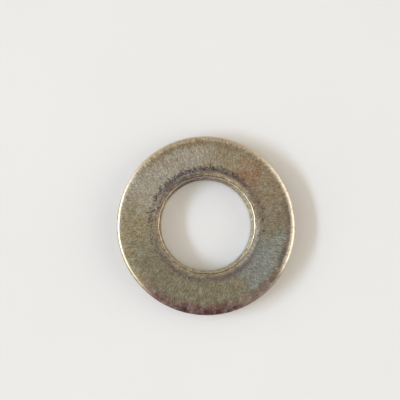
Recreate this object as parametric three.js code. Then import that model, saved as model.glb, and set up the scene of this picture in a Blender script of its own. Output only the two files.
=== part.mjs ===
// A plain flat washer for a half-inch bolt, punched from steel strip and zinc plated.
// Millimetres, +Z up. The origin is the centre of the hole, on the face that lies down.
// The hole was pierced from below and the rim blanked from above, so the upper face has the
// rim's rolled edge and the hole's torn one, and the lower face has the other two.
import * as THREE from "three";

// Driving dimensions.
const OUTER_DIAMETER = 27.0; // 1 1/16 in
const HOLE_DIAMETER = 13.7; // 17/32 in, and a little over, as its tolerance allows
const THICKNESS = 2.4; // 0.095 in

// What punching leaves on an edge, going through the metal against the punch: a blunted corner,
// a break leaning out to the straight land, then a round corner and a shallow shoulder.
const RIM_EDGE = {
  bluntWidth: 0.08,
  bluntHeight: 0.08,
  breakHeight: 1.0, // where the break ends and the land starts
  breakDepth: 0.13, // how far the break leans back
  cornerRadius: 0.58,
  rollWidth: 1.5, // from the land to where the shoulder reaches the flat
};
const HOLE_EDGE = {
  bluntWidth: 0.78,
  bluntHeight: 0.2,
  breakHeight: 1.2,
  breakDepth: 0.37,
  cornerRadius: 0.45,
  rollWidth: 1.2,
};
const SHOULDER_SLOPE = THREE.MathUtils.degToRad(8); // where the shoulder meets the corner

// How finely the round stretches are stepped.
const STEPS_AROUND = 96;
const SHOULDER_STEPS = 3;
const CORNER_STEPS = 6;
const BLUNT_STEPS = 4;

// Points along an ellipse's arc from one angle to another, both measured up from the
// horizontal. The first point is left out, because it ends the line before.
function arcPoints(centre, halfWidth, halfHeight, fromAngle, toAngle, steps) {
  const points = [];
  for (let step = 1; step <= steps; step += 1) {
    const angle = THREE.MathUtils.lerp(fromAngle, toAngle, step / steps);
    points.push(
      new THREE.Vector2(
        centre.x + halfWidth * Math.cos(angle),
        centre.y + halfHeight * Math.sin(angle),
      ),
    );
  }
  return points;
}

// One punched edge in section, from the face on its torn side to the face on its rolled side.
// x is measured out of the metal from the land, so every point has x <= 0, and y is measured
// from the face on the torn side.
function edgeSection(edge) {
  const { bluntWidth, bluntHeight, breakHeight, breakDepth, cornerRadius, rollWidth } = edge;
  const level = Math.PI / 2;
  const slope = level - SHOULDER_SLOPE;

  // The shoulder's radius is the one that makes it meet the flat and the corner smoothly.
  const shoulderReach = rollWidth - cornerRadius;
  const shoulderRadius = cornerRadius + shoulderReach / Math.sin(SHOULDER_SLOPE);
  const shoulderCentre = new THREE.Vector2(-rollWidth, THICKNESS - shoulderRadius);
  const cornerCentre = new THREE.Vector2(
    -cornerRadius,
    shoulderCentre.y + (shoulderRadius - cornerRadius) * Math.cos(SHOULDER_SLOPE),
  );

  const bluntCentre = new THREE.Vector2(-breakDepth - bluntWidth, bluntHeight);
  return [
    new THREE.Vector2(bluntCentre.x, 0),
    ...arcPoints(bluntCentre, bluntWidth, bluntHeight, -level, 0, BLUNT_STEPS),
    new THREE.Vector2(0, breakHeight),
    new THREE.Vector2(0, cornerCentre.y),
    ...arcPoints(cornerCentre, cornerRadius, cornerRadius, 0, slope, CORNER_STEPS),
    ...arcPoints(shoulderCentre, shoulderRadius, shoulderRadius, slope, level, SHOULDER_STEPS),
  ];
}

// The closed section of the ring: up the rim, in along the upper face, down the hole's edge,
// whose torn side is up, and back out along the lower face.
function ringSection() {
  const rim = edgeSection(RIM_EDGE).map(
    ({ x, y }) => new THREE.Vector2(OUTER_DIAMETER / 2 + x, y),
  );
  const hole = edgeSection(HOLE_EDGE).map(
    ({ x, y }) => new THREE.Vector2(HOLE_DIAMETER / 2 - x, THICKNESS - y),
  );
  return [...rim, ...hole, rim[0]];
}

function yellowZincPlate() {
  return new THREE.MeshStandardMaterial({
    color: new THREE.Color(0.55, 0.49, 0.37),
    roughness: 0.42,
    metalness: 0.9,
  });
}

function makeWasher() {
  const geometry = new THREE.LatheGeometry(ringSection(), STEPS_AROUND);
  geometry.rotateX(Math.PI / 2); // the lathe turns about +Y, and the washer's axis is +Z
  const washer = new THREE.Mesh(geometry, yellowZincPlate());
  washer.name = "washer";
  return washer;
}

const part = new THREE.Group();
part.add(makeWasher());

export default part;
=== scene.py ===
"""A flat washer, punched from steel strip and yellow zinc plated, and the studio that it lies in.

The washer is one piece of steel, so its visual model is one surface: a section with a rolled-over
corner, a burnished land and a torn break on each edge, carried round a circle and then marked with
the pits, scores and nicks of its making. The file is laid out as a Blender add-on.
"""

import math
from types import SimpleNamespace

import bpy
import numpy as np
from bpy.props import FloatProperty, FloatVectorProperty, IntProperty, PointerProperty
from mathutils import Matrix, Vector


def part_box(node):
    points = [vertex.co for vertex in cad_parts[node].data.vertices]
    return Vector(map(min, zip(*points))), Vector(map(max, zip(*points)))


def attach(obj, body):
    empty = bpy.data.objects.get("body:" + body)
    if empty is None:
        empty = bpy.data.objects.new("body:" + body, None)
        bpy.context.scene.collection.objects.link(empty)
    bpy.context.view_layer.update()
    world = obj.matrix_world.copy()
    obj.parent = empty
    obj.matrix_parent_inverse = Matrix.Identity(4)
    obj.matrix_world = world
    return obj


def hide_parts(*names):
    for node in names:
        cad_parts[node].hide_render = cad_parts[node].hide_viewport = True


bl_info = {
    "name": "Flat Washer",
    "version": (1, 0, 0),
    "blender": (4, 5, 0),
    "location": "3D View > Sidebar > Flat Washer",
    "description": "Makes a punched and zinc-plated flat washer, and a plain studio round it",
    "category": "Add Mesh",
}

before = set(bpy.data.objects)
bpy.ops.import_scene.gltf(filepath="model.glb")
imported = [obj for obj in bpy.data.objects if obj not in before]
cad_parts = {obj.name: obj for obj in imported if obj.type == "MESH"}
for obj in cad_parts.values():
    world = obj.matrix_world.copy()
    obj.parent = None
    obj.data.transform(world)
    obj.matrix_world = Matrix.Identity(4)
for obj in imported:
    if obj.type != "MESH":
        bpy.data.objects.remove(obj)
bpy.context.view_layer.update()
CAD_NODE = "washer"
BODY = "root"
MM = 0.001


def least_radius(node):
    """The least distance from the Z axis to a vertex of the node's mesh, which is a hole's radius."""
    places = np.empty(3 * len(node.data.vertices))
    node.data.vertices.foreach_get("co", places)
    return float(np.hypot(places[0::3], places[1::3]).min())


LOWEST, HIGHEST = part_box(CAD_NODE)
HOLE_RADIUS = least_radius(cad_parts[CAD_NODE])


# ---------------------------------------------------------------------------------- settings


def length(name, description, default_mm):
    """A length that a user can change, given here in millimetres."""
    return FloatProperty(
        name=name,
        description=description,
        default=default_mm * MM,
        min=0.0,
        precision=5,
        subtype="DISTANCE",
        unit="LENGTH",
    )


def colour(name, description, red, green, blue):
    """A linear colour that a user can change."""
    return FloatVectorProperty(
        name=name,
        description=description,
        default=(red, green, blue),
        size=3,
        min=0.0,
        max=1.0,
        subtype="COLOR",
    )


def share(name, description, default):
    """A plain number from 0 to 1 that a user can change."""
    return FloatProperty(
        name=name, description=description, default=default, min=0.0, max=1.0, subtype="FACTOR"
    )


def plain(name, description, default):
    """A plain number that a user can change."""
    return FloatProperty(name=name, description=description, default=default, min=0.0)


def place(name, description, *default_mm):
    """A place that a user can change, given here in millimetres."""
    return FloatVectorProperty(
        name=name,
        description=description,
        default=[number * MM for number in default_mm],
        size=3,
        subtype="TRANSLATION",
        unit="LENGTH",
    )


class WasherSizes(bpy.types.PropertyGroup):
    """Sizes of the ring and of what punching leaves on its two edges."""

    outer_diameter: length("Outer diameter", "Across the rim", (HIGHEST.x - LOWEST.x) / MM)
    hole_diameter: length("Hole diameter", "Across the hole's land", 2 * HOLE_RADIUS / MM)
    thickness: length("Thickness", "From the lower face to the upper one", HIGHEST.z / MM)
    rim_blunt_width: length("Rim blunt width", "Blunted corner at the rim, across", 0.08)
    rim_blunt_height: length("Rim blunt height", "Blunted corner at the rim, up", 0.08)
    rim_break_height: length("Rim break height", "Where the rim's break ends and its land starts", 1.0)
    rim_break_depth: length("Rim break depth", "How far the rim's break leans back", 0.13)
    rim_corner_radius: length("Rim corner radius", "Rolled corner at the rim", 0.58)
    rim_roll_width: length("Rim roll width", "How far in from the rim the upper face falls", 1.5)
    hole_blunt_width: length("Hole blunt width", "Slope round the hole, across", 0.78)
    hole_blunt_height: length("Hole blunt height", "Slope round the hole, down", 0.2)
    hole_break_height: length("Hole break height", "How far down the hole's land starts", 1.2)
    hole_break_depth: length("Hole break depth", "How far the hole's break leans back", 0.37)
    hole_corner_radius: length("Hole corner radius", "Rolled corner under the hole", 0.45)
    hole_roll_width: length("Hole roll width", "How far out from the hole the lower face rises", 1.2)
    shoulder_slope: FloatProperty(
        name="Shoulder slope",
        description="How steeply the shoulder falls where it meets the rolled corner",
        default=math.radians(8),
        subtype="ANGLE",
        unit="ROTATION",
    )


class PunchMarks(bpy.types.PropertyGroup):
    """Depths of the marks of making, all cut into the ring."""

    unevenness: share("Unevenness", "How much the rolled edges vary in width round the ring", 0.07)
    wave_depth: length("Wave depth", "Slow waves in the upper face", 0.02)
    pit_depth: length("Pit depth", "Pits in the scuffed band round the hole", 0.05)
    score_depth: length("Score depth", "Upright scores that the punch leaves on a land", 0.012)
    tear_depth: length("Tear depth", "Roughness of the torn break", 0.05)
    nick_depth: length("Nick depth", "Nicks in the rim's corner", 0.06)
    seed: IntProperty(name="Seed", description="Changes where the marks fall", default=7, min=0)


class PlatingColours(bpy.types.PropertyGroup):
    """Tints of the passivated zinc, which change with the thickness of the film. Some of them also
    serve as painted highlights on the rim and along the hole's lip, and as painted shade in the
    crease by the lip and on the hole's wall.
    """

    silver: colour("Silver", "Thin film, nearly bare zinc", 0.53, 0.50, 0.43)
    straw: colour("Straw", "Warm yellow film", 0.42, 0.37, 0.25)
    amber: colour("Amber", "Orange-brown film", 0.43, 0.285, 0.19)
    umber: colour("Umber", "Brown film", 0.36, 0.30, 0.21)
    olive: colour("Olive", "Brown-green film", 0.315, 0.29, 0.205)
    slate: colour("Slate", "Grey-green film", 0.335, 0.365, 0.355)
    # Gold also paints a highlight along the hole's lip.
    gold: colour("Gold", "Bright yellow film on the corners", 0.64, 0.55, 0.39)
    bark: colour("Bark", "Dark brown film", 0.22, 0.18, 0.15)
    russet: colour("Russet", "Thick red-brown film", 0.285, 0.225, 0.195)
    crimson: colour("Crimson", "Red film low on the rim", 0.23, 0.13, 0.125)
    maroon: colour("Maroon", "Thick red film on the rim's corner", 0.13, 0.06, 0.06)
    plum: colour("Plum", "Purple-grey film in the scuffed band", 0.155, 0.125, 0.14)
    # Besides grime in the pits, this colour is painted shade in the crease outside the hole's lip.
    grime_and_crease_shade: colour("Soot", "Grime in the pits", 0.045, 0.036, 0.048)
    # Burnished zinc on the lands; on the rim's corner, at 150 degrees and at 336 to 25 degrees, this
    # colour is a painted highlight.
    burnished_zinc_and_highlight: colour("Bright zinc", "Rubbed corners and burnished lands", 0.72, 0.67, 0.58)


class StageSettings(bpy.types.PropertyGroup):
    """Floor, light and camera."""

    floor_colour: colour("Floor colour", "Plain pale floor", 0.72, 0.72, 0.72)
    sky_colour: colour("Sky colour", "Light from all round", 1.0, 0.92, 0.80)
    window_colour: colour("Window colour", "Long low light on the left", 0.65, 0.79, 1.0)
    sky_overhead: plain("Sky overhead", "Radiance of the sky overhead", 0.45)
    sky_sides: plain("Sky at the sides", "How much more the sky has low at the left and right", 4.2)
    window_radiance: plain("Window radiance", "Of the long low light on the left", 48.0)
    camera_place: place("Camera place", "Where the camera is", -12.5, -8.5, 121.7)
    camera_aim: place("Camera aim", "What the camera looks at", -0.86, 3.93, 0.0)
    lens: plain("Lens", "Focal length in millimetres", 72.2)


# ------------------------------------------------------------------------- noise, as whole arrays


def ring_noise(angle, fewest, most, seed):
    """Sum over whole numbers k, from fewest to most, of a random weight times cos(k angle + a random
    phase), brought to a spread of one. It closes on itself round the ring."""
    random = np.random.default_rng(seed)
    turns = np.arange(fewest, most + 1)
    weight = random.normal(size=turns.size)
    phase = random.uniform(0, 2 * np.pi, turns.size)
    waves = (weight * np.cos(np.outer(angle, turns) + phase)).sum(axis=1)
    return (waves / waves.std())[:, None]


def lattice_noise(places, cell, seed):
    """Random values from 0 to 1 at the corners of cubes of side cell, blended across each cube by
    3 t^2 - 2 t^3 along each axis."""
    corner = np.floor(places / cell).astype(int)
    blend = places / cell - corner
    blend = blend * blend * (3 - 2 * blend)
    corner -= corner.reshape(-1, 3).min(axis=0)
    values = np.random.default_rng(seed).random(corner.reshape(-1, 3).max(axis=0) + 2)
    total = np.zeros(places.shape[:-1])
    for step in np.ndindex(2, 2, 2):
        weight = np.where(step, blend, 1 - blend).prod(axis=-1)
        x, y, z = np.moveaxis(corner + step, -1, 0)
        total += weight * values[x, y, z]
    return total


def smooth_step(value, low, high):
    """0 below low, 1 above high, and 3 t^2 - 2 t^3 between."""
    t = np.clip((value - low) / (high - low), 0, 1)
    return t * t * (3 - 2 * t)


def bump_at(value, middle, width):
    """A bell, exp(-(value - middle)^2 / width^2)."""
    return np.exp(-(((value - middle) / width) ** 2))


# ------------------------------------------------------------------------- the ring's surface

STEPS_AROUND = 720
RIM_STEPS = {"blunt": 3, "break": 8, "land": 4, "corner": 9, "shoulder": 8}
HOLE_STEPS = {"blunt": 12, "break": 8, "land": 4, "corner": 5, "shoulder": 3}
UPPER_STEPS = 48
LOWER_STEPS = 8
BELOW_THE_BEVEL = -1.0  # stands for the share across the bevel where there is no bevel
SCUFF_REACH = 1.42 * MM  # from the hole's land to the middle of the scuffed band
SCUFF_WIDTH = 0.43 * MM
SCUFF_STRONGEST = math.radians(92)  # and again at the opposite side
SCUFF_FADING = 0.65
SCUFF_FRONT = math.radians(260)
SCUFF_FRONT_WIDTH = math.radians(30)
SCUFF_FRONT_FADING = 0.45
PIT_COUNT = 340
PITS_TOWARDS = math.radians(115)
PITS_SPREAD = math.radians(54)  # to either side of that direction, and so on for the next one
PITS_REACH = 1.76 * MM  # from the hole's land to the middle of the ring of pits
PITS_SCATTER = 0.24 * MM
PIT_WIDTHS = (0.04 * MM, 0.15 * MM)
# Each nick's direction from +X, its distance from the Z axis and its width.
NICKS = (
    (math.radians(126), 12.95 * MM, 0.16 * MM),
    (math.radians(130), 13.00 * MM, 0.20 * MM),
    (math.radians(29.6), 9.25 * MM, 0.14 * MM),
    (math.radians(254.8), 7.55 * MM, 0.10 * MM),
    (math.radians(98), 10.90 * MM, 0.11 * MM),
    (math.radians(221), 11.60 * MM, 0.12 * MM),
)
UPPER_CROWDING = 1.35  # over 1, the upper face's points crowd towards the hole, where its pits are


def arc(centre_x, centre_z, half_width, half_height, start, end, steps):
    """centre + (half width cos t, half height sin t) as t runs evenly from start to end, without the
    first point."""
    t = start + (end - start) * np.arange(1, steps + 1) / steps
    return centre_x + half_width * np.cos(t), centre_z + half_height * np.sin(t)


def line(start_x, start_z, end_x, end_z, steps, crowding=1.0):
    """start + (end - start) t^crowding as t runs from 0 to 1, without the first point."""
    t = (np.arange(1, steps + 1) / steps) ** crowding
    return start_x + (end_x - start_x) * t, start_z + (end_z - start_z) * t


def edge_section(edge, sizes, steps):
    """One punched edge in section at every angle, from the face on its torn side to the face on its
    rolled side: a blunted corner, a break leaning out to the land, the upright land, and then two
    arcs that meet smoothly, the round corner and the shallow shoulder. x runs out of the metal from
    the land, so x <= 0, and z runs from the face on the torn side. The shoulder's radius is
    corner radius + (roll width - corner radius) / sin(slope)."""
    level = math.pi / 2
    slope = level - sizes.shoulder_slope
    round_corner, reach = edge.corner_radius, edge.roll_width - edge.corner_radius
    shoulder = round_corner + reach / math.cos(slope)
    shoulder_z = sizes.thickness - shoulder
    corner_z = shoulder_z + (shoulder - round_corner) * math.sin(slope)
    blunt_x = -edge.break_depth - edge.blunt_width
    blunt_z = edge.blunt_height
    column = np.zeros_like(blunt_x)

    stretches = [
        (blunt_x, column),
        arc(blunt_x, blunt_z, edge.blunt_width, blunt_z, -level, 0.0, steps["blunt"]),
        line(-edge.break_depth, blunt_z, 0.0, edge.break_height, steps["break"]),
        line(0.0, edge.break_height, 0.0, corner_z, steps["land"]),
        arc(-round_corner, corner_z, round_corner, round_corner, 0.0, slope, steps["corner"]),
        arc(-edge.roll_width, shoulder_z, shoulder, shoulder, slope, level, steps["shoulder"]),
    ]
    x = np.hstack([column + stretch[0] for stretch in stretches])
    z = np.hstack([column + stretch[1] for stretch in stretches])
    return x, z


def edge_zones(side, steps):
    """The name of the stretch that each point of an edge section is on."""
    names = [f"{side}_{name}" for name, count in steps.items() for _ in range(count)]
    return [f"{side}_blunt", *names]


def uneven_edge(sizes, side, angle, unevenness, seed):
    """The edge's sizes at every angle. The roll and the corners widen and narrow in slow waves, and the
    line where the land breaks wanders up and down in quick ones."""
    slow = ring_noise(angle, 1, 6, seed)
    corner_waves = ring_noise(angle, 1, 9, seed + 1)
    quick = ring_noise(angle, 3, 60, seed + 2)
    lean = ring_noise(angle, 2, 24, seed + 3)
    blunting = ring_noise(angle, 5, 90, seed + 4)

    def size(name, waves):
        return getattr(sizes, f"{side}_{name}") * (1 + unevenness * waves)

    return SimpleNamespace(
        blunt_width=size("blunt_width", blunting),
        blunt_height=size("blunt_height", blunting),
        break_height=size("break_height", quick),
        break_depth=size("break_depth", lean),
        corner_radius=size("corner_radius", corner_waves),
        roll_width=size("roll_width", slow),
    )


def ring_section(sizes, marks, angle):
    """Radius and height of the closed section at every angle, with the name of each point's stretch.
    It goes up the rim, in along the upper face, down the hole and back out along the lower face."""
    rim = uneven_edge(sizes, "rim", angle, marks.unevenness, marks.seed)
    hole = uneven_edge(sizes, "hole", angle, marks.unevenness, marks.seed + 10)
    rim_x, rim_z = edge_section(rim, sizes, RIM_STEPS)
    hole_x, hole_z = edge_section(hole, sizes, HOLE_STEPS)
    top = sizes.thickness
    rim_r = sizes.outer_diameter / 2 + rim_x
    hole_r = sizes.hole_diameter / 2 - hole_x
    hole_z = top - hole_z
    upper_r, _ = line(hole_r[:, :1], top, rim_r[:, -1:], top, UPPER_STEPS, UPPER_CROWDING)
    upper_r = upper_r[:, -2::-1]
    lower_r, _ = line(hole_r[:, -1:], 0.0, rim_r[:, :1], 0.0, LOWER_STEPS)
    lower_r = lower_r[:, :-1]
    radius = np.hstack([rim_r, upper_r, hole_r, lower_r])
    height = np.hstack([rim_z, np.full_like(upper_r, top), hole_z, np.zeros_like(lower_r)])
    zones = np.array(
        edge_zones("rim", RIM_STEPS)
        + ["upper_face"] * (UPPER_STEPS - 1)
        + edge_zones("hole", HOLE_STEPS)
        + ["lower_face"] * (LOWER_STEPS - 1)
    )
    return radius, height, zones


def outward_from(radius, height):
    """Unit normals of the section, (dz, -dr) along it, by differences between each point's neighbours."""
    along_r = np.roll(radius, -1, axis=1) - np.roll(radius, 1, axis=1)
    along_z = np.roll(height, -1, axis=1) - np.roll(height, 1, axis=1)
    size = np.hypot(along_r, along_z)
    return along_z / size, -along_r / size


def scuffed_band(angle, radius, height, sizes):
    """How scuffed each point is, from 0 to 1: a band round the hole on the upper face, strongest on
    two opposite sides."""
    band = bump_at(radius, sizes.hole_diameter / 2 + SCUFF_REACH, SCUFF_WIDTH)
    upper = smooth_step(height, 0.8 * sizes.thickness, 0.95 * sizes.thickness)
    strength = 1.0 - SCUFF_FADING * smooth_step(-np.cos(2 * (angle - SCUFF_STRONGEST)), -0.4, 1.0)
    strength *= 1.0 - SCUFF_FRONT_FADING * bump_at(angle, SCUFF_FRONT, SCUFF_FRONT_WIDTH)
    return band * upper * strength


def round_dents(turn, radius, spots):
    """The greatest, at each point, of some round bells. Each spot is the direction of a bell's middle,
    its distance from the Z axis and its width."""
    x, y = radius * np.cos(turn), radius * np.sin(turn)
    dents = np.zeros_like(radius)
    for towards, distance, width in spots:
        away = np.hypot(x - distance * math.cos(towards), y - distance * math.sin(towards))
        dents = np.maximum(dents, bump_at(away, 0.0, width))
    return dents


def scattered_pits(sizes, seed):
    """The spots of many small pits in a ring round the hole, thickest on one side."""
    random = np.random.default_rng(seed)
    towards = PITS_TOWARDS + PITS_SPREAD * random.normal(size=PIT_COUNT)
    distance = sizes.hole_diameter / 2 + PITS_REACH + PITS_SCATTER * random.normal(size=PIT_COUNT)
    width = random.uniform(*PIT_WIDTHS, PIT_COUNT)
    return zip(towards, distance, width)


def ring_surface(sizes, marks):
    """The ring's points and the marks on them, on a grid of angles by points of the section.
    Each point is (radius cos a, radius sin a, height) less the depth of its marks along its normal."""
    angle = np.linspace(0, 2 * np.pi, STEPS_AROUND, endpoint=False)
    radius, height, zones = ring_section(sizes, marks, angle)
    turn = angle[:, None]

    def round_the_ring():
        return np.stack([radius * np.cos(turn), radius * np.sin(turn), height], axis=-1)

    def on(*names):
        return np.isin(zones, names) * np.ones_like(radius)

    places = round_the_ring()
    upper = smooth_step(height, 0.75 * sizes.thickness, sizes.thickness)
    waves = marks.wave_depth * lattice_noise(places, 3.2 * MM, marks.seed + 20) * upper

    blunt = radius[:, zones == "hole_blunt"]
    inner = blunt.min(axis=1, keepdims=True)
    outer = blunt.max(axis=1, keepdims=True)
    across = (radius - inner) / (outer - inner)
    bevel = np.where(height > 0.5 * sizes.thickness, across, BELOW_THE_BEVEL)

    scuff = scuffed_band(turn, radius, height, sizes)
    pits = round_dents(turn, radius, scattered_pits(sizes, marks.seed + 21)) * upper
    dents = round_dents(turn, radius, NICKS) * (height > 0.7 * sizes.thickness)

    fine = np.abs(ring_noise(angle, 30, 340, marks.seed + 23))
    broad = np.abs(ring_noise(angle, 4, 30, marks.seed + 24))
    land = on("rim_land", "hole_land")
    scored = np.maximum(land, 0.3 * on("rim_corner") * (1 - upper))
    scores = marks.score_depth * 0.3 * (fine + broad) * scored

    torn = on("rim_break", "hole_break")
    crumbs = lattice_noise(places, 0.2 * MM, marks.seed + 25)
    flakes = lattice_noise(places * (1, 1, 0.5), 0.6 * MM, marks.seed + 26)
    tears = marks.tear_depth * 0.5 * (crumbs + flakes) * torn

    depth = waves + scores + tears + marks.pit_depth * pits + marks.nick_depth * dents
    out_r, out_z = outward_from(radius, height)
    radius -= depth * out_r
    height -= depth * out_z
    fields = {"pits": pits, "dents": dents, "scuff": scuff, "torn": torn, "land": land}
    return round_the_ring(), fields | {"bevel": bevel}


def grid_mesh(name, places, fields):
    """A mesh of quads over a grid that closes on itself both ways, with one number per point for each
    field. The quads turn from the first direction towards the second, so they face outwards."""
    around, along = places.shape[:2]
    index = np.arange(around * along).reshape(around, along)
    ahead = np.roll(index, -1, axis=0)
    quads = np.stack([index, ahead, np.roll(ahead, -1, axis=1), np.roll(index, -1, axis=1)], axis=-1)
    mesh = bpy.data.meshes.new(name)
    mesh.from_pydata(places.reshape(-1, 3).tolist(), [], quads.reshape(-1, 4).tolist())
    mesh.polygons.foreach_set("use_smooth", np.ones(len(mesh.polygons), bool))
    for field, values in fields.items():
        attribute = mesh.attributes.new(field, "FLOAT", "POINT")
        attribute.data.foreach_set("value", values.astype(np.float32).ravel())
    mesh.update()
    return mesh


# ------------------------------------------------------------------------- the plating's nodes

# Sizes of the blotches of each noise.
WANDER_SIZE = 3.0 * MM
FLECK_SIZE = 0.17 * MM
STREAK_SIZE = 0.2 * MM
MOTTLE_SIZE = 0.9 * MM
RUST_SIZE = 0.5 * MM
GREEN_SIZE = 0.9 * MM
RIDGE_SIZE = 0.13 * MM
SPECK_SIZE = 0.22 * MM
BOARD_MOTTLE_SIZE = 30 * MM
# The set radii of the two drawn-out places, and the part of the real radius that the first keeps.
STREAKS_AT = 10 * MM
STREAK_SHRINK = 0.42
RIDGES_AT = 1.5 * MM
GRAIN_CONTRAST = 0.26
GRAIN_RUBBED_AWAY = 0.7  # on the lands and the rim's corner
RELIEF_DEPTH = 0.02 * MM


class Sheet:
    """The nodes of one material. Each method adds a node and returns its output socket."""

    def __init__(self, name):
        self.material = bpy.data.materials.new(name)
        self.material.use_nodes = True
        self.tree = self.material.node_tree
        self.shader = self.tree.nodes["Principled BSDF"]

    def feed(self, socket, value):
        """Links the socket to another one, or sets its value."""
        if isinstance(value, bpy.types.NodeSocket):
            self.tree.links.new(value, socket)
        else:
            socket.default_value = value

    def node(self, kind, inputs, output=0, **settings):
        """Adds a node, sets it up, feeds its inputs by name or number, and returns one output."""
        made = self.tree.nodes.new(kind)
        for name, value in settings.items():
            setattr(made, name, value)
        for socket, value in inputs.items():
            self.feed(made.inputs[socket], value)
        return made.outputs[output]

    def maths(self, operation, *values, clamp=False):
        """The result of one of Blender's operations on numbers."""
        return self.node("ShaderNodeMath", dict(enumerate(values)), operation=operation, use_clamp=clamp)

    def add(self, first, second):
        """first + second"""
        return self.maths("ADD", first, second)

    def times(self, first, second):
        """first * second"""
        return self.maths("MULTIPLY", first, second)

    def attribute(self, name):
        """One of the numbers that the mesh keeps at each point."""
        return self.node("ShaderNodeAttribute", {}, output="Fac", attribute_name=name)

    def plus_part(self, first, second, part):
        """first + second * part"""
        return self.maths("MULTIPLY_ADD", second, part, first)

    def ramp(self, value, low, high, to_low=0.0, to_high=1.0):
        """Carries the value smoothly from low..high to to_low..to_high."""
        inputs = {"Value": value, 1: low, 2: high, 3: to_low, 4: to_high}
        return self.node("ShaderNodeMapRange", inputs, interpolation_type="SMOOTHSTEP")

    def noise(self, places, size, detail=2.0, roughness=0.5):
        """Noise whose blotches are about that size in metres."""
        inputs = {"Vector": places, "Scale": 1 / size, "Detail": detail, "Roughness": roughness}
        return self.node("ShaderNodeTexNoise", inputs, output="Fac")

    def mix(self, part, first, second, blend="MIX"):
        """Colour: first, changed by part towards second."""
        made = self.tree.nodes.new("ShaderNodeMix")
        made.data_type = "RGBA"
        made.blend_type = blend
        colours = [socket for socket in made.inputs if socket.type == "RGBA"]
        self.feed(made.inputs["Factor"], part)
        for socket, value in zip(colours, (first, second)):
            self.feed(socket, value if isinstance(value, bpy.types.NodeSocket) else (*value, 1.0))
        return next(socket for socket in made.outputs if socket.type == "RGBA")

    def shaded(self, tint, shade):
        """The colour times the number."""
        grey = self.node("ShaderNodeCombineColor", {"Red": shade, "Green": shade, "Blue": shade})
        return self.mix(1.0, tint, grey, blend="MULTIPLY")

    def tints_round(self, turn, stops):
        """Colour by the share of a turn. stops is [(degrees, colour)], and the first also closes it."""
        made = self.tree.nodes.new("ShaderNodeValToRGB")
        self.feed(made.inputs["Fac"], turn)
        band = made.color_ramp
        band.interpolation = "EASE"
        closed = [*stops, (stops[0][0] + 360, stops[0][1])]
        band.elements[0].position, band.elements[0].color = 0.0, (*stops[0][1], 1.0)
        band.elements[1].position, band.elements[1].color = 1.0, (*stops[0][1], 1.0)
        for degrees, tint in closed[1:-1]:
            band.elements.new((degrees - stops[0][0]) / 360).color = (*tint, 1.0)
        return made.outputs["Color"]


def polar_coordinates(sheet, sizes):
    """The surface's own place, its radius, 1 above mid thickness and 0 below, its share of a turn from
    +X, and two places for noise that is drawn out, (cos a, sin a) times a set radius and then a part
    of the radius. A great set radius gives marks along the radius, and a small one gives marks round
    the ring."""
    places = sheet.node("ShaderNodeTexCoord", {}, output="Object")
    split = sheet.tree.nodes.new("ShaderNodeSeparateXYZ")
    sheet.feed(split.inputs["Vector"], places)
    x, y, z = split.outputs
    radius = sheet.maths("SQRT", sheet.add(sheet.times(x, x), sheet.times(y, y)))
    turn = sheet.times(sheet.maths("ARCTAN2", y, x), 1 / (2 * math.pi))

    def drawn_out(set_radius, part):
        around = sheet.maths("DIVIDE", set_radius, radius)
        places = {"X": sheet.times(x, around), "Y": sheet.times(y, around), "Z": sheet.times(radius, part)}
        return sheet.node("ShaderNodeCombineXYZ", places)

    return SimpleNamespace(
        places=places,
        radius=radius,
        upper=sheet.ramp(z, 0.45 * sizes.thickness, 0.55 * sizes.thickness),
        turn=turn,
        along=drawn_out(STREAKS_AT, STREAK_SHRINK),
        round=drawn_out(RIDGES_AT, 1.0),
    )


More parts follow.
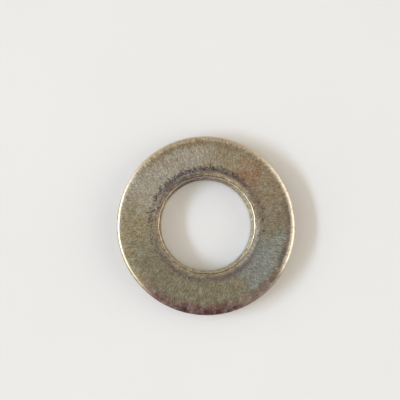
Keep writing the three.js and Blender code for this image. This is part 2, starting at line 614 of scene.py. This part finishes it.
def film_colour(sheet, at, sizes, tints):
    """The film's tint before wear. It drifts round the ring, in one way on the flat of the face, in
    another on the rolled rim, and in others on the rim's corner and round the hole. On the rolled rim
    and the rim's corner the bright tints at 150 to 218 degrees are a painted highlight of the window
    on the left, and bright zinc at 336 to 25 degrees on the corner is a painted highlight on the right.
    Degrees run counter-clockwise from +X, seen from above."""

    def tints_round(turn, *stops):
        return sheet.tints_round(turn, [(degrees, getattr(tints, name)) for degrees, name in stops])

    wander = sheet.noise(at.places, WANDER_SIZE, detail=3.0)
    astray = sheet.plus_part(-0.5, wander, 1.0)
    turn = sheet.maths("FRACT", sheet.plus_part(at.turn, astray, 0.10))
    radius = sheet.plus_part(at.radius, astray, 0.6 * MM)
    rim = sizes.outer_diameter / 2

    face = tints_round(
        turn,
        (0, "olive"),
        (30, "umber"),
        (50, "amber"),
        (72, "straw"),
        (105, "silver"),
        (150, "silver"),
        (180, "straw"),
        (210, "olive"),
        (285, "olive"),
        (320, "slate"),
        (338, "slate"),
    )
    # On the rolled rim, silver and straw at 150 to 210 degrees are a painted highlight of the window on
    # the left.
    rolled_rim_and_highlight = tints_round(
        turn,
        (0, "bark"),
        (30, "umber"),
        (60, "umber"),
        (125, "umber"),
        (150, "silver"),
        (180, "straw"),
        (210, "straw"),
        (240, "russet"),
        (258, "crimson"),
        (282, "crimson"),
        (300, "russet"),
        (335, "bark"),
    )
    # On the rim's corner, bright zinc and straw at 150 to 218 degrees are a painted highlight of the
    # window on the left, and bright zinc at 336 to 25 degrees is a painted highlight on the right.
    rim_corner = tints_round(
        turn,
        (0, "burnished_zinc_and_highlight"),
        (25, "burnished_zinc_and_highlight"),
        (60, "gold"),
        (130, "gold"),
        (150, "burnished_zinc_and_highlight"),
        (185, "straw"),
        (218, "straw"),
        (238, "crimson"),
        (256, "maroon"),
        (284, "maroon"),
        (306, "russet"),
        (320, "bark"),
        (336, "burnished_zinc_and_highlight"),
    )
    bevel = tints_round(
        turn,
        (0, "silver"),
        (25, "straw"),
        (60, "gold"),
        (90, "umber"),
        (115, "bark"),
        (150, "russet"),
        (185, "umber"),
        (210, "umber"),
        (240, "straw"),
        (290, "straw"),
        (325, "silver"),
    )
    on_rolled_rim = sheet.ramp(radius, rim - 2.0 * MM, rim - 1.0 * MM)
    on_rim_corner = sheet.ramp(at.radius, rim - 1.0 * MM, rim - 0.50 * MM)
    on_bevel = sheet.ramp(sheet.plus_part(sheet.attribute("bevel"), astray, 0.5), 1.1, 0.8)
    tint = sheet.mix(on_rolled_rim, face, rolled_rim_and_highlight)
    tint = sheet.mix(on_rim_corner, tint, rim_corner)
    return sheet.mix(sheet.times(on_bevel, at.upper), tint, bevel)


def wall_colour(sheet, at, sizes, tints):
    """The film over the torn breaks. Round the hole it is straw on the right and at the front, and
    dark brown and plum at the back, 75 to 150 degrees, partly the film's own colour and partly
    painted shade where the wall faces away from the window.
    """
    # At 75 to 150 degrees the darker tints are partly painted shade on the wall that faces away from the
    # window.
    hole_stops = (
        (0, tints.straw),
        (40, tints.umber),
        (75, tints.russet),
        (95, tints.plum),
        (120, tints.plum),
        (150, tints.umber),
        (215, tints.umber),
        (240, tints.straw),
        (300, tints.straw),
    )
    hole_wall_and_shade = sheet.tints_round(sheet.maths("FRACT", at.turn), hole_stops)
    midway = 0.25 * (sizes.outer_diameter + sizes.hole_diameter)
    on_the_rim = sheet.maths("GREATER_THAN", at.radius, midway)
    return sheet.mix(on_the_rim, hole_wall_and_shade, tuple(tints.umber))


def strip_grain(sheet, at, sizes):
    """The grain of the strip: even flecks, streaks along the radius and broader blotches, and the shade
    that they give together. Flecks and streaks are rubbed away on the lands and the rim's corner."""
    flecks = sheet.noise(at.places, FLECK_SIZE, roughness=0.65)
    streaks = sheet.noise(at.along, STREAK_SIZE, roughness=0.65)
    mottle = sheet.noise(at.places, MOTTLE_SIZE, detail=4.0, roughness=0.65)
    rim = sizes.outer_diameter / 2
    corner = sheet.ramp(at.radius, rim - 0.7 * MM, rim - 0.3 * MM)
    rubbed = sheet.maths("MAXIMUM", sheet.attribute("land"), corner)
    kept = sheet.plus_part(1.0, rubbed, -GRAIN_RUBBED_AWAY)
    shade = sheet.ramp(mottle, 0.3, 0.7, 0.88, 1.12)
    for noise in (flecks, streaks):
        change = sheet.ramp(noise, 0.32, 0.68, -GRAIN_CONTRAST, GRAIN_CONTRAST)
        shade = sheet.times(shade, sheet.plus_part(1.0, change, kept))
    return SimpleNamespace(flecks=flecks, streaks=streaks, mottle=mottle, shade=shade)


def with_rust_and_green(sheet, at, tints, tint):
    """The tint with rusty streaks along the radius and grey-green blotches."""
    rusty = sheet.ramp(sheet.noise(at.along, RUST_SIZE), 0.50, 0.72, 0.0, 0.42)
    green = sheet.ramp(sheet.noise(at.places, GREEN_SIZE), 0.50, 0.72, 0.0, 0.38)
    tint = sheet.mix(rusty, tint, tuple(tints.amber))
    return sheet.mix(green, tint, tuple(tints.slate))


def with_walls(sheet, at, sizes, tints, tint):
    """The tint with bright lands and dull torn breaks."""
    tint = sheet.mix(sheet.times(sheet.attribute("land"), 0.5), tint, tuple(tints.burnished_zinc_and_highlight))
    torn = sheet.times(sheet.attribute("torn"), 0.9)
    return sheet.mix(torn, tint, wall_colour(sheet, at, sizes, tints))


def with_ridges_and_lip(sheet, at, tints, tint):
    """The tint with ridges round the hole, a painted highlight in gold along the hole's lip, worn gold
    chips, and painted shade in the crease just outside the lip."""
    bevel = sheet.attribute("bevel")
    near_hole = sheet.times(at.upper, sheet.ramp(bevel, 2.2, 1.0))
    ridges = sheet.noise(at.round, RIDGE_SIZE, roughness=0.6)
    ridged = sheet.shaded(tint, sheet.ramp(ridges, 0.36, 0.64, 0.78, 1.22))
    tint = sheet.mix(near_hole, tint, ridged)
    # Painted highlight: lip is a thin line along the hole's lip that is mixed towards gold.
    lip = sheet.times(sheet.ramp(bevel, -0.12, 0.0), sheet.ramp(bevel, 0.13, 0.06))
    chips = sheet.times(sheet.ramp(bevel, 0.9, 0.5), sheet.ramp(ridges, 0.60, 0.68))
    # rubbed holds the painted highlight along the lip together with the worn chips.
    rubbed = sheet.times(at.upper, sheet.add(sheet.times(lip, 0.5), sheet.times(chips, 0.5)))
    tint = sheet.mix(rubbed, tint, tuple(tints.gold))
    # Painted shade: the crease just outside the lip is darkened most of the way to near black.
    crease = sheet.times(sheet.ramp(bevel, 0.09, 0.16), sheet.ramp(bevel, 0.34, 0.21))
    return sheet.mix(sheet.times(crease, 0.7), tint, tuple(tints.grime_and_crease_shade))


def with_scuffs(sheet, at, tints, tint):
    """The tint with the scuffed band, a purple-grey stain broken into specks, and then with the nicks,
    and grime in the pits."""
    specks = sheet.noise(at.places, SPECK_SIZE, detail=3.0, roughness=0.7)
    stain = sheet.times(sheet.attribute("scuff"), sheet.ramp(specks, 0.38, 0.54, 0.55, 1.0))
    tint = sheet.mix(sheet.times(stain, 0.95), tint, tuple(tints.plum))
    tint = sheet.mix(sheet.times(sheet.attribute("dents"), 0.7), tint, tuple(tints.amber))
    grime = sheet.times(sheet.attribute("pits"), sheet.ramp(specks, 0.35, 0.5, 0.5, 1.0))
    return sheet.mix(grime, tint, tuple(tints.grime_and_crease_shade))


def plating_roughness(sheet, grain):
    """Roughness that varies with the flecks. It is greater in the scuffed band and on the torn breaks,
    and less on the lands."""
    roughness = sheet.ramp(grain.flecks, 0.3, 0.7, 0.34, 0.48)
    for field, change in (("scuff", 0.08), ("torn", 0.15), ("land", -0.10)):
        roughness = sheet.plus_part(roughness, sheet.attribute(field), change)
    return roughness


def plating_bump(sheet, grain):
    """Shallow relief of the grain."""
    fine = sheet.times(sheet.add(grain.flecks, grain.streaks), 0.5)
    relief = sheet.plus_part(fine, grain.mottle, 0.6)
    return sheet.node("ShaderNodeBump", {"Height": relief, "Strength": 0.5, "Distance": RELIEF_DEPTH})


def plating_material(sizes, tints):
    """Yellow-passivated zinc on punched steel."""
    sheet = Sheet("yellow_zinc_plate")
    at = polar_coordinates(sheet, sizes)
    grain = strip_grain(sheet, at, sizes)
    tint = film_colour(sheet, at, sizes, tints)
    tint = with_rust_and_green(sheet, at, tints, tint)
    tint = with_walls(sheet, at, sizes, tints, tint)
    tint = sheet.shaded(tint, grain.shade)
    tint = with_ridges_and_lip(sheet, at, tints, tint)
    tint = with_scuffs(sheet, at, tints, tint)
    sheet.feed(sheet.shader.inputs["Base Color"], tint)
    sheet.feed(sheet.shader.inputs["Roughness"], plating_roughness(sheet, grain))
    sheet.feed(sheet.shader.inputs["Metallic"], 0.95)
    sheet.feed(sheet.shader.inputs["Normal"], plating_bump(sheet, grain))
    return sheet.material


def floor_material(stage):
    """Plain pale board, very slightly mottled."""
    sheet = Sheet("pale_floor")
    places = sheet.node("ShaderNodeTexCoord", {}, output="Object")
    mottle = sheet.ramp(sheet.noise(places, BOARD_MOTTLE_SIZE, detail=4.0), 0.3, 0.7, 0.985, 1.0)
    tint = sheet.shaded(tuple(stage.floor_colour), mottle)
    sheet.feed(sheet.shader.inputs["Base Color"], tint)
    sheet.feed(sheet.shader.inputs["Roughness"], 1.0)
    sheet.feed(sheet.shader.inputs["Specular IOR Level"], 0.0)
    return sheet.material


# ------------------------------------------------------------------------------------ the stage

FLOOR_SIDE = 6.0
PANEL_DISTANCE = 3.0
# Where the window is and the angles that it fills, seen from the washer.
WINDOW = SimpleNamespace(
    azimuth=math.radians(188),
    elevation=math.radians(27),
    spread=math.radians(34),
    height=math.radians(5.5),
)
SKY_LIFT = 3.5  # how quickly the glow rises from the horizon
SENSOR_WIDTH = 36.0  # in millimetres, as the lens is
CLIP_START = 0.01
CLIP_END = 10.0


def link(thing):
    """Puts the object in the scene and returns it."""
    bpy.context.scene.collection.objects.link(thing)
    return thing


def make_floor(stage):
    """A flat square, far wider than the washer, at the height of its lower face."""
    half = FLOOR_SIDE / 2
    corners = [(-half, -half, 0.0), (half, -half, 0.0), (half, half, 0.0), (-half, half, 0.0)]
    mesh = bpy.data.meshes.new("floor")
    mesh.from_pydata(corners, [], [(0, 1, 2, 3)])
    mesh.materials.append(floor_material(stage))
    floor = link(bpy.data.objects.new("floor", mesh))


def make_panel(name, panel, radiance, tint):
    """A flat light on a great sphere round the washer, facing it. Its power is its radiance times its
    area times pi."""
    towards = Vector(
        (
            math.cos(panel.azimuth) * math.cos(panel.elevation),
            math.sin(panel.azimuth) * math.cos(panel.elevation),
            math.sin(panel.elevation),
        )
    )
    light = bpy.data.lights.new(name, "AREA")
    light.shape = "RECTANGLE"
    light.size = 2 * PANEL_DISTANCE * math.tan(panel.spread / 2)
    light.size_y = 2 * PANEL_DISTANCE * math.tan(panel.height / 2)
    light.energy = math.pi * radiance * light.size * light.size_y
    light.color = tint
    made = link(bpy.data.objects.new(name, light))
    made.location = PANEL_DISTANCE * towards
    made.rotation_euler = towards.to_track_quat("Z", "Y").to_euler()


def make_sky(stage):
    """A soft sky that is brighter low at the left and right: its strength in a direction (x, y, z) is
    overhead + sides x^4 min(lift z, 1), so the glow fades out at the horizon."""
    world = bpy.data.worlds.new("soft_sky")
    world.use_nodes = True
    bpy.context.scene.world = world
    nodes, links = world.node_tree.nodes, world.node_tree.links
    background = nodes["Background"]
    background.inputs["Color"].default_value = (*stage.sky_colour, 1.0)
    direction = nodes.new("ShaderNodeTexCoord")
    split = nodes.new("ShaderNodeSeparateXYZ")
    links.new(direction.outputs["Generated"], split.inputs["Vector"])

    def maths(operation, first, second):
        made = nodes.new("ShaderNodeMath")
        made.operation = operation
        links.new(first, made.inputs[0])
        if isinstance(second, float):
            made.inputs[1].default_value = second
        else:
            links.new(second, made.inputs[1])
        return made.outputs[0]

    square = maths("MULTIPLY", split.outputs["X"], split.outputs["X"])
    lifted = maths("MINIMUM", maths("MULTIPLY", split.outputs["Z"], SKY_LIFT), 1.0)
    glow = maths("MULTIPLY", maths("MULTIPLY", square, square), lifted)
    strength = maths("ADD", maths("MULTIPLY", glow, stage.sky_sides), stage.sky_overhead)
    links.new(strength, background.inputs["Strength"])


def make_camera(stage):
    """A camera nearly over the washer. The page's right and the page's up lie nearly along +X and +Y."""
    data = bpy.data.cameras.new("camera")
    data.lens = stage.lens
    data.sensor_width = SENSOR_WIDTH
    data.clip_start = CLIP_START
    data.clip_end = CLIP_END
    camera = link(bpy.data.objects.new("camera", data))
    camera.location = stage.camera_place
    back = (Vector(stage.camera_place) - Vector(stage.camera_aim)).normalized()
    right = Vector((0, 1, 0)).cross(back).normalized()
    camera.rotation_euler = Matrix((right, back.cross(right), back)).transposed().to_euler()
    bpy.context.scene.camera = camera


# ------------------------------------------------------------------------------------ the add-on


class MESH_OT_flat_washer(bpy.types.Operator):
    """Make the plated ring, in place of the plain one"""

    bl_idname = "mesh.flat_washer"
    bl_label = "Flat washer"

    def execute(self, context):
        settings = context.scene
        places, fields = ring_surface(settings.washer_sizes, settings.punch_marks)
        mesh = grid_mesh("plated_ring", places, fields)
        mesh.materials.append(plating_material(settings.washer_sizes, settings.plating_colours))
        ring = link(bpy.data.objects.new("plated_ring", mesh))
        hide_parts(CAD_NODE)
        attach(ring, BODY)
        return {"FINISHED"}


class SCENE_OT_washer_stage(bpy.types.Operator):
    """Make the floor, the lights and the camera"""

    bl_idname = "scene.washer_stage"
    bl_label = "Washer stage"

    def execute(self, context):
        stage = context.scene.washer_stage
        make_floor(stage)
        make_sky(stage)
        make_panel("window", WINDOW, stage.window_radiance, stage.window_colour)
        make_camera(stage)
        context.scene.view_settings.view_transform = "Standard"
        return {"FINISHED"}


class VIEW3D_PT_flat_washer(bpy.types.Panel):
    """Sizes, marks, colours and stage of the washer"""

    bl_idname = "VIEW3D_PT_flat_washer"
    bl_label = "Flat Washer"
    bl_space_type = "VIEW_3D"
    bl_region_type = "UI"
    bl_category = "Flat Washer"

    def draw(self, context):
        layout = self.layout
        for name, (group, title) in SETTINGS.items():
            column = layout.box().column()
            column.label(text=title)
            for field in group.__annotations__:
                column.prop(getattr(context.scene, name), field)
        layout.operator(MESH_OT_flat_washer.bl_idname)
        layout.operator(SCENE_OT_washer_stage.bl_idname)


SETTINGS = {
    "washer_sizes": (WasherSizes, "Sizes"),
    "punch_marks": (PunchMarks, "Marks of making"),
    "plating_colours": (PlatingColours, "Plating"),
    "washer_stage": (StageSettings, "Stage"),
}
TOOLS = (MESH_OT_flat_washer, SCENE_OT_washer_stage, VIEW3D_PT_flat_washer)


def register():
    """Adds the settings, the two operators and the panel to Blender."""
    for name, (group, _title) in SETTINGS.items():
        bpy.utils.register_class(group)
        setattr(bpy.types.Scene, name, PointerProperty(type=group))
    for tool in TOOLS:
        bpy.utils.register_class(tool)


def unregister():
    """Takes them away again."""
    for tool in reversed(TOOLS):
        bpy.utils.unregister_class(tool)
    for name, (group, _title) in reversed(SETTINGS.items()):
        delattr(bpy.types.Scene, name)
        bpy.utils.unregister_class(group)


def main():
    """Makes the washer and its stage."""
    register()
    bpy.ops.mesh.flat_washer()
    bpy.ops.scene.washer_stage()


if __name__ == "__main__":
    main()
